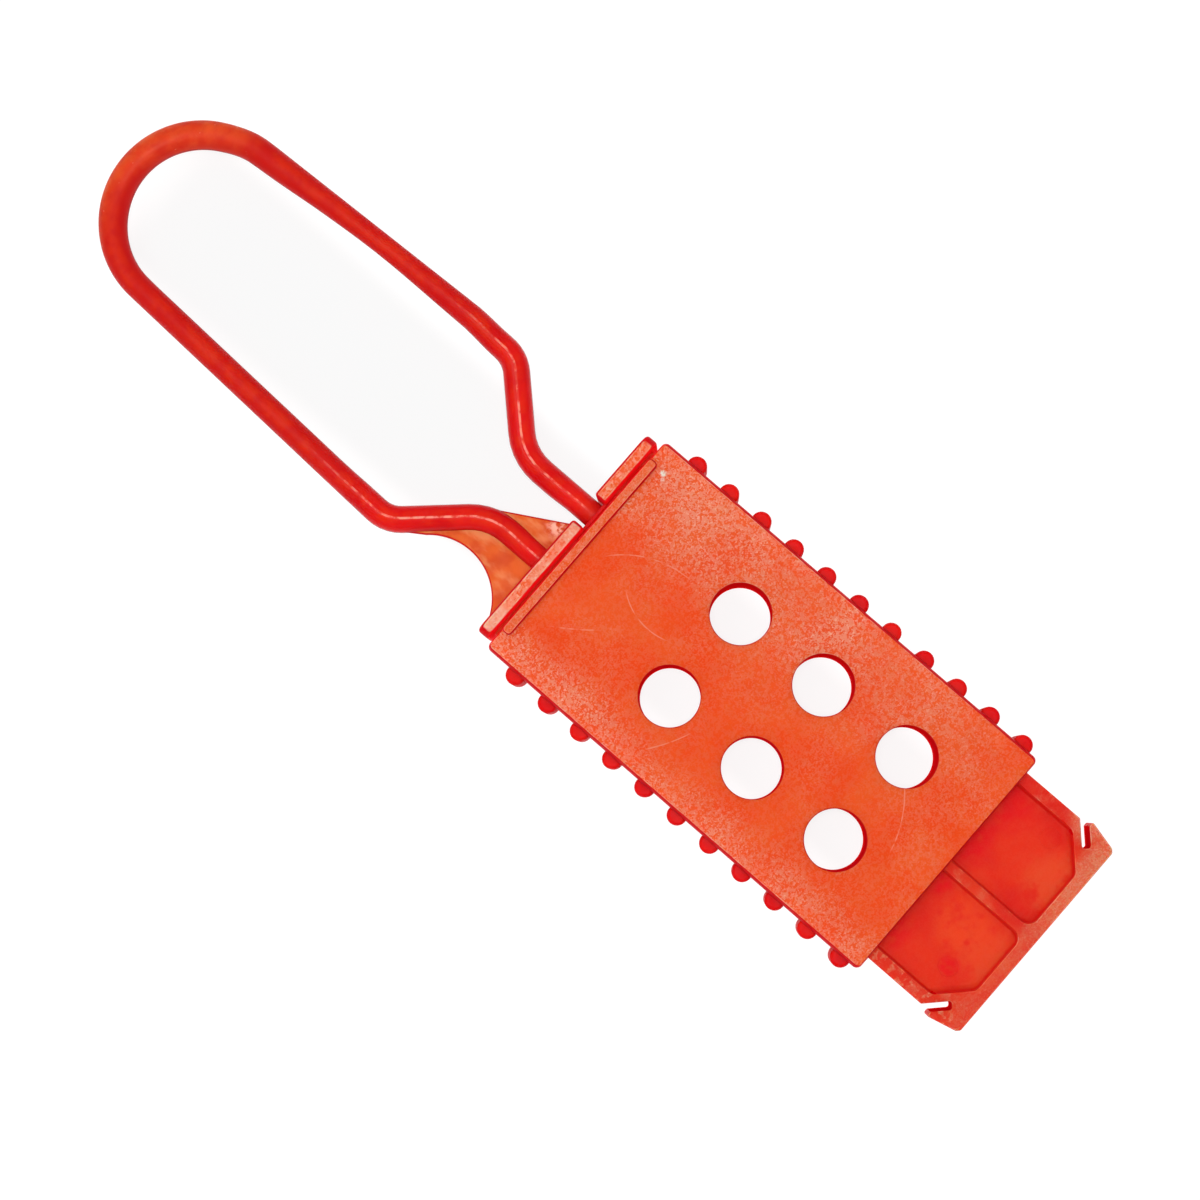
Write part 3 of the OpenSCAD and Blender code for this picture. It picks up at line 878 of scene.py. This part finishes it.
def spotted(paint, colour, spots):
    """Adds ragged spots to a colour. Each has a place, a radius, a colour and a share."""
    for x, y, r, tint, share in spots:
        spot = paint.span(paint.away(x, y), 0.35 * r, r, share, 0.0)
        ragged = paint.span(paint.noise(0.4 * r, detail=2), 0.25, 0.55)
        colour = paint.mix(paint.times(spot, ragged), colour, tint)
    return colour


def moulded(name, face, cloud, frost, grainy=0.16, shaded_sides=CRIMSON, flat=(0.86, 0.995), coarse=1.0,
            frosting=PINK, even=0.1, glint_share=1.0, marks=(), patches=(), nicks=()):
    """Moulded nylon: broad faces spark-eroded and frosted, sides smooth, with a darker red painted on
    them as shade.
    flat is how far up a normal has to point for a side and for a face, and even is the frosting's
    share between its specks. Patches lie under the frosting, and nicks and marks over it."""
    paint = Paint(name)
    up = paint.size_of(paint.part(paint.facing, "Z"))
    broad = paint.span(up, *flat)
    edge = paint.times(paint.span(up, 0.86, 0.95), paint.span(up, 0.985, 0.9998, 1.0, 0.0))
    grain = paint.noise(0.6 * coarse, detail=3, rough=0.6)
    fine = paint.noise(0.26 * coarse, detail=1)
    mixed = paint.calc("MULTIPLY_ADD", fine, 0.45, paint.times(grain, 0.55))
    speckle = paint.span(mixed, 0.44, 0.56)
    frosted = frost(paint)
    colour = paint.mix(paint.span(paint.noise(8, detail=3, shift=5.3), 0.36, 0.64), face, cloud)
    colour = spotted(paint, colour, patches)
    colour = paint.mix(paint.times(speckle, grainy), colour, PINK)
    clotted = paint.times(frosted, paint.span(speckle, 0, 1, even, 1.0))
    colour = paint.mix(clotted, colour, frosting)
    # Painted highlights: small cream glints over the frosted parts, where the grain would catch the
    # light.
    bright = paint.span(paint.noise(0.34 * coarse, shift=2.2), 0.57, 0.67, 0.0, glint_share)
    painted_glints = paint.times(bright, frosted)
    colour = paint.mix(painted_glints, colour, paint.mix(0.5, frosting, CREAM))
    colour = spotted(paint, colour, nicks)
    for mark in marks:
        colour = paint.mix(paint.times(scratch(paint, *mark), 0.9), colour, PINK)
    # Painted shade: surfaces that face sideways take the darker side colour.
    colour = paint.mix(broad, shaded_sides, colour)
    # Painted highlight: a broken cream line on the upper part of the rounded edges, where they would
    # catch the light.
    edge_highlight = paint.times(edge, paint.span(paint.noise(1.6, detail=3), 0.38, 0.6, 0.1, 0.7))
    colour = paint.mix(paint.times(edge_highlight, frosted), colour, CREAM)
    rough = paint.span(broad, 0.0, 1.0, 0.5, 0.7)
    texture = paint.times(mixed, paint.span(broad, 0.0, 1.0, 0.2, 1.0))
    normal = paint.bump(texture, 0.8 * grainy + 0.02)
    normal = paint.bump(paint.noise(5, detail=2), 0.05, normal)
    # Painted glow: the walls give off a little red light of their own, most in the crack by the flange,
    # in place of light coming through the thin nylon
    from_crack = paint.size_of(paint.calc("SUBTRACT", paint.mm("Y"), CRACK_Y))
    crack = paint.span(from_crack, 0.4, 0.7, 0.45, 0.08)
    painted_glow = paint.times(crack, paint.calc("SUBTRACT", 1.0, broad))
    return paint.done(colour, rough, normal, 1.0, specular=0.08, light=painted_glow, tint=RED)


def satin(name, colour_a, colour_b, roughness, specular=0.2, painted_glow=0.0):
    """Smooth moulded nylon with cloudy colour and a slightly wavy skin."""
    paint = Paint(name)
    colour = paint.mix(paint.span(paint.noise(5, detail=3), 0.35, 0.65), colour_a, colour_b)
    rough = paint.span(paint.noise(2.2, detail=3), 0.3, 0.7, roughness, roughness + 0.12)
    normal = paint.bump(paint.noise(1.3, detail=3, rough=0.6), 0.05)
    normal = paint.bump(paint.noise(0.4, detail=2), 0.01, normal)
    # Painted glow: the last argument gives the surface a red light of its own.
    return paint.done(colour, rough, normal, 1.0, specular=specular, light=painted_glow, tint=RED)


def rod_skin(name):
    """The shackle: glossy legs with a broken painted highlight along their crest, duller arms, painted
    orange light on the arch's outer side and in patches on the rod's top, a few painted glints on the
    arch, and painted shade down both sides."""
    paint = Paint(name)
    y = paint.mm("Y")
    leg = paint.times(paint.span(y, 20, 40, 1.0, 0.0), paint.span(y, 0.5, 3))
    colour = paint.mix(leg, srgb(203, 27, 22), srgb(221, 26, 28))
    colour = paint.mix(paint.span(paint.noise(6, detail=3), 0.35, 0.65, 0.0, 0.5), colour, CRIMSON)
    up = paint.part(paint.facing, "Z")
    # Painted light: lighter orange patches on the rod's upper side, where the light falls.
    top_light_patches = paint.span(paint.noise(2.5, detail=3, shift=1.9), 0.35, 0.65, 0.02, 0.25)
    colour = paint.mix(paint.times(paint.span(up, 0.7, 1.0), top_light_patches), colour, ORANGE)
    # Painted light: the arch's outer side, most towards the left, is a lighter orange where the light
    # falls on it.
    outer = paint.span(paint.away(-3, ARCH_Y - 2), ARCH_R - 1.4 * ROD_R, ARCH_R + 0.6 * ROD_R)
    arch_light = paint.times(outer, paint.span(y, ARCH_Y - 2, ARCH_Y + 8))
    arch_light = paint.times(arch_light, paint.span(paint.noise(3, detail=3, shift=7.4), 0.3, 0.7, 0.3, 0.85))
    colour = paint.mix(arch_light, colour, srgb(234, 96, 44))
    # Painted highlights: a few cream glints on the lit part of the arch.
    arch_glints = paint.span(paint.noise(0.9, detail=2, shift=3.3), 0.7, 0.76, 0.0, 0.8)
    colour = paint.mix(paint.times(arch_light, arch_glints), colour, CREAM)
    # Painted highlight: a broken pale line along the top of the legs, where the light would glint.
    crest_highlight = paint.times(paint.span(up, 0.994, 0.9995), leg)
    broken = paint.span(paint.noise(1.2, detail=4, shift=6.1), 0.4, 0.62, 0.1, 0.8)
    colour = paint.mix(paint.times(crest_highlight, broken), colour, srgb(250, 172, 150))
    # Painted shade: a darker red band down both sides of the rod, where its surface turns away from
    # above.
    side_shade = paint.span(paint.size_of(up), 0.02, 0.26, 0.8, 0.0)
    colour = paint.mix(side_shade, colour, srgb(160, 10, 12))
    pits = paint.noise(0.5, detail=3, rough=0.7)
    rough = paint.calc("SUBTRACT", paint.span(pits, 0.35, 0.65, 0.4, 0.5), paint.times(leg, 0.27))
    normal = paint.bump(pits, 0.008)
    normal = paint.bump(paint.noise(2.4, detail=2), 0.05, normal)
    return paint.done(colour, rough, normal, 1.0, specular=0.08)


def web_skin(name):
    """Thin web: amber where light comes through, with a pale smear by the flange, and painted shade on
    its edges.
    """
    paint = Paint(name)
    clouds = paint.span(paint.noise(4, detail=3), 0.35, 0.65)
    colour = paint.mix(clouds, srgb(204, 72, 16), srgb(222, 100, 34))
    streaks = paint.noise(2.4, detail=3, stretch=(1, 0.5, 1), turn=0.6, shift=4.6)
    tan = paint.span(streaks, 0.48, 0.68, 0.0, 0.65)
    colour = paint.mix(tan, colour, srgb(232, 146, 92))
    smear = paint.times(paint.span(paint.away(0.6, 2.6), 0.5, 2.8, 0.9, 0.0),
                        paint.span(paint.noise(0.9, detail=3), 0.4, 0.6))
    colour = paint.mix(smear, colour, CREAM)
    # Painted shade: the web's sideways-facing edges are a darker red.
    up = paint.size_of(paint.part(paint.facing, "Z"))
    colour = paint.mix(paint.span(up, 0.8, 0.99), CRIMSON, colour)
    rough = paint.span(paint.noise(2.2, detail=3), 0.3, 0.7, 0.45, 0.6)
    normal = paint.bump(paint.noise(1.3, detail=3, rough=0.6), 0.06)
    return paint.done(colour, rough, normal, 0.4, specular=0.1)


def floor_paper():
    """Plain white paper on a light table, its own light turned a trace down as painted shade where the
    hasp lies on it.
    """
    paint = Paint("studio_paper")
    y = paint.mm("Y")
    near_x = paint.span(paint.size_of(paint.mm("X")), 9, 15, 1.0, 0.0)
    near_y = paint.times(paint.span(y, TAIL_Y + 8, TAIL_Y + 18),
                         paint.span(y, ARCH_Y + 5, ARCH_Y + 15, 1.0, 0.0))
    painted_shade = paint.times(near_x, near_y)
    clouds = paint.span(paint.noise(120, detail=2), 0.3, 0.7)
    colour = paint.mix(clouds, (0.1, 0.1, 0.1, 1), (0.12, 0.12, 0.12, 1))
    normal = paint.bump(paint.noise(0.8), 0.01)
    # Painted shade: the paper's own light is lowered a little under the hasp.
    light = paint.calc("MULTIPLY_ADD", painted_shade, -0.14, 0.98)
    return paint.done(colour, 0.9, normal, specular=0.1, light=light)


# ---------------------------------------------------------------- pieces


def fit(piece, material, slot, body, *nodes):
    """Gives a piece its material and body, and hides the CAD nodes that it stands for. Its slot argument
    is not used.
    """
    piece.data.materials.append(material)
    if body:
        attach(piece, body)
    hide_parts(*nodes)


def line_walls(piece, material, slots=False):
    """Gives the walls of the padlock holes, and of the tail's slots, a material of their own, whose
    darker red paints their shade.
    """
    piece.data.materials.append(material)
    ends = slot_corners()
    for face in piece.data.polygons:
        centre = face.center / MM
        in_hole = min((centre.xy - hole.xy).length for hole in HOLES) < HOLE_R + 0.05
        beside_barb = ends[1].x < abs(centre.x) < ends[0].x
        in_slot = slots and beside_barb and TAIL_Y + 1 < centre.y < ends[0].y
        if abs(face.normal.z) < 0.5 and (in_hole or in_slot):
            face.material_index = 1


# Scratches on the sleeve's face: a place, the angle to the middle of the bend, its radius, half length.
# Patches and nicks: a place, radius, colour and share.
FACE_SCRATCHES = [(5.4, -10.8, -155, 14.8, 7.5), (-9.5, -9.1, 36, 40, 3.8), (-2.4, -15.5, -10, 9.6, 5.5),
                  (-13, -30, 60, 25, 4), (1, -62, 120, 18, 6)]
FACE_NICKS = [(15.9, -4.1, 0.65, WHITISH, 0.95), (15.1, -4.6, 0.45, WHITISH, 0.6)]
LIP_NICKS = [(-15.5, 0.4, 3.5, CREAM, 0.5), (-7, 0.4, 3, CREAM, 0.3), (0.5, 0.4, 3, CREAM, 0.4)]
# The deep red patches along the sleeve's end, near Y -71.5, and in the crack by the leg are painted
# shade; the others are tone differences and the ejector mark's colour.
TAIL_TONES_AND_SHADE = [
    (8, -84.5, 6, TAIL_AMBER, 0.8), (-6, -84.5, 6, TAIL_AMBER, 0.7), (LEG_X, CRACK_Y, 9, DEEP_RED, 1.0),
    (12, -71.5, 7, DEEP_RED, 0.9), (5, -71.5, 5, DEEP_RED, 0.9), (-2.5, -72.4, 2.6, DEEP_RED, 0.9),
    (-12, -71.5, 4, DEEP_RED, 0.8), (*EJECTOR_MARKS[0], 2.2, DEEP_RED, 0.9),
    (-5, -79, 6, srgb(228, 76, 32), 0.8), (10, -78, 5, srgb(226, 58, 28), 0.5)]

sleeve_nylon = moulded("sleeve_nylon", ORANGE, TANGERINE, frosted_face,
                       marks=FACE_SCRATCHES, nicks=FACE_NICKS)
slider_nylon = moulded("slider_nylon", SCARLET, srgb(222, 54, 26), frosted_tail, 0.03, srgb(210, 26, 20),
                       flat=(0.25, 0.8), frosting=srgb(220, 130, 96), even=0.55, glint_share=0.4,
                       patches=TAIL_TONES_AND_SHADE)
rib_nylon = moulded("rib_nylon", TANGERINE, srgb(240, 100, 50), lambda paint: 0.4)
lip_nylon = moulded("lip_nylon", TANGERINE, srgb(240, 104, 60), frosted_lip, coarse=1.6, nicks=LIP_NICKS)
# Painted shade and glow: the hole and slot walls are a darker red than the faces, with a faint red light
# of their own.
shaded_wall_nylon = satin("shaded_wall_nylon", RED, CRIMSON, 0.6, 0.0, 0.12)
# Painted shade: the grip beads on the sides get a darker red than the faces.
side_nylon = satin("side_nylon", srgb(226, 24, 20), srgb(214, 14, 20), 0.45, 0.05)
shackle_nylon = rod_skin("shackle_nylon")
web_nylon = web_skin("web_nylon")

sleeve = sleeve_shell()
fit(sleeve, sleeve_nylon, "sleeve_nylon", "sleeve",
    "sleeve_front_wall", "sleeve_back_wall", "sleeve_left_wall", "sleeve_right_wall")
line_walls(sleeve, shaded_wall_nylon)
fit(sleeve_rib(), rib_nylon, "sleeve_nylon", "sleeve", "sleeve_end_rib")
fit(grips("left_grips", -1), side_nylon, "side_nylon", "sleeve", "left_grip_beads")
fit(grips("right_grips", 1), side_nylon, "side_nylon", "sleeve", "right_grip_beads")
plate = slider_plate()
fit(plate, slider_nylon, "slider_nylon", "slider",
    "slider_floor", "hole_bosses", "left_rail", "right_rail", "middle_rib", "tail_bar",
    "left_barb", "right_barb", "foot_pocket")
line_walls(plate, shaded_wall_nylon, slots=True)
fit(flange_lip("left_lip", LEFT_LIP_LOW, LEFT_LIP_TOP, -1), lip_nylon, "slider_nylon", "slider",
    "left_flange")
fit(flange_lip("right_lip", RIGHT_LIP_LOW, RIGHT_LIP_TOP, 1), lip_nylon, "slider_nylon", "slider",
    "right_flange")
fit(leg_web(), web_nylon, "web_nylon", "slider", "leg_web")
fit(foot_tab(), shackle_nylon, "shackle_nylon", "free_side", "leg_foot")

loop = shackle_loop()
fit(loop, shackle_nylon, "shackle_nylon", None,
    "fixed_leg", "fixed_arm", "fixed_arch", "free_arch", "free_arm", "free_leg")
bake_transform(loop)


# ---------------------------------------------------------------- studio


def soft_box(name, place, size, power):
    """Square area light at a place, in millimetres, turned towards the hasp's middle."""
    data = bpy.data.lights.new(name, "AREA")
    data.size = size * MM
    data.energy = power
    lamp = bpy.data.objects.new(name, data)
    lamp.location = Vector(place) * MM
    lamp.rotation_mode = "QUATERNION"
    lamp.rotation_quaternion = (Vector() - Vector(place)).to_track_quat("-Z", "Y")
    bpy.context.scene.collection.objects.link(lamp)


def paper_floor():
    """Large sheet of white paper under the hasp."""
    half = 4000
    level = -0.02
    mesh = bpy.data.meshes.new("paper")
    corners = [(-half, -half), (half, -half), (half, half), (-half, half)]
    mesh.from_pydata([Vector((x, y, level)) * MM for x, y in corners], [], [(0, 1, 2, 3)])
    paper = bpy.data.objects.new("paper", mesh)
    mesh.materials.append(floor_paper())
    bpy.context.scene.collection.objects.link(paper)


def daylight(strength):
    """Even white light from all round."""
    world = bpy.data.worlds.new("daylight")
    world.use_nodes = True
    background = world.node_tree.nodes["Background"]
    background.inputs["Color"].default_value = (1.0, 1.0, 1.0, 1.0)
    background.inputs["Strength"].default_value = strength
    bpy.context.scene.world = world


def camera():
    """Camera almost straight above, its picture turned so that the arch is at the upper left."""
    place = Vector((-15.45, -38.8, 383.9)) * MM
    aim = Vector((-3.58, -8.47, 0.0)) * MM
    picture_up = Vector((0.755, 0.656, 0.0))
    backward = (place - aim).normalized()
    right = picture_up.cross(backward).normalized()
    upward = backward.cross(right)
    data = bpy.data.cameras.new("camera")
    data.sensor_width = 36
    data.lens = 78.5
    data.clip_start = 0.01
    lens = bpy.data.objects.new("camera", data)
    turned = Matrix((right, upward, backward)).transposed().to_4x4()
    lens.matrix_world = Matrix.Translation(place) @ turned
    bpy.context.scene.collection.objects.link(lens)
    bpy.context.scene.camera = lens


paper_floor()
daylight(0.3)
soft_box("key", (-15, -30, 410), 70, 0.98)
soft_box("overhead", (-160, 220, 650), 300, 0.95)
camera()
bpy.context.scene.view_settings.view_transform = "Standard"
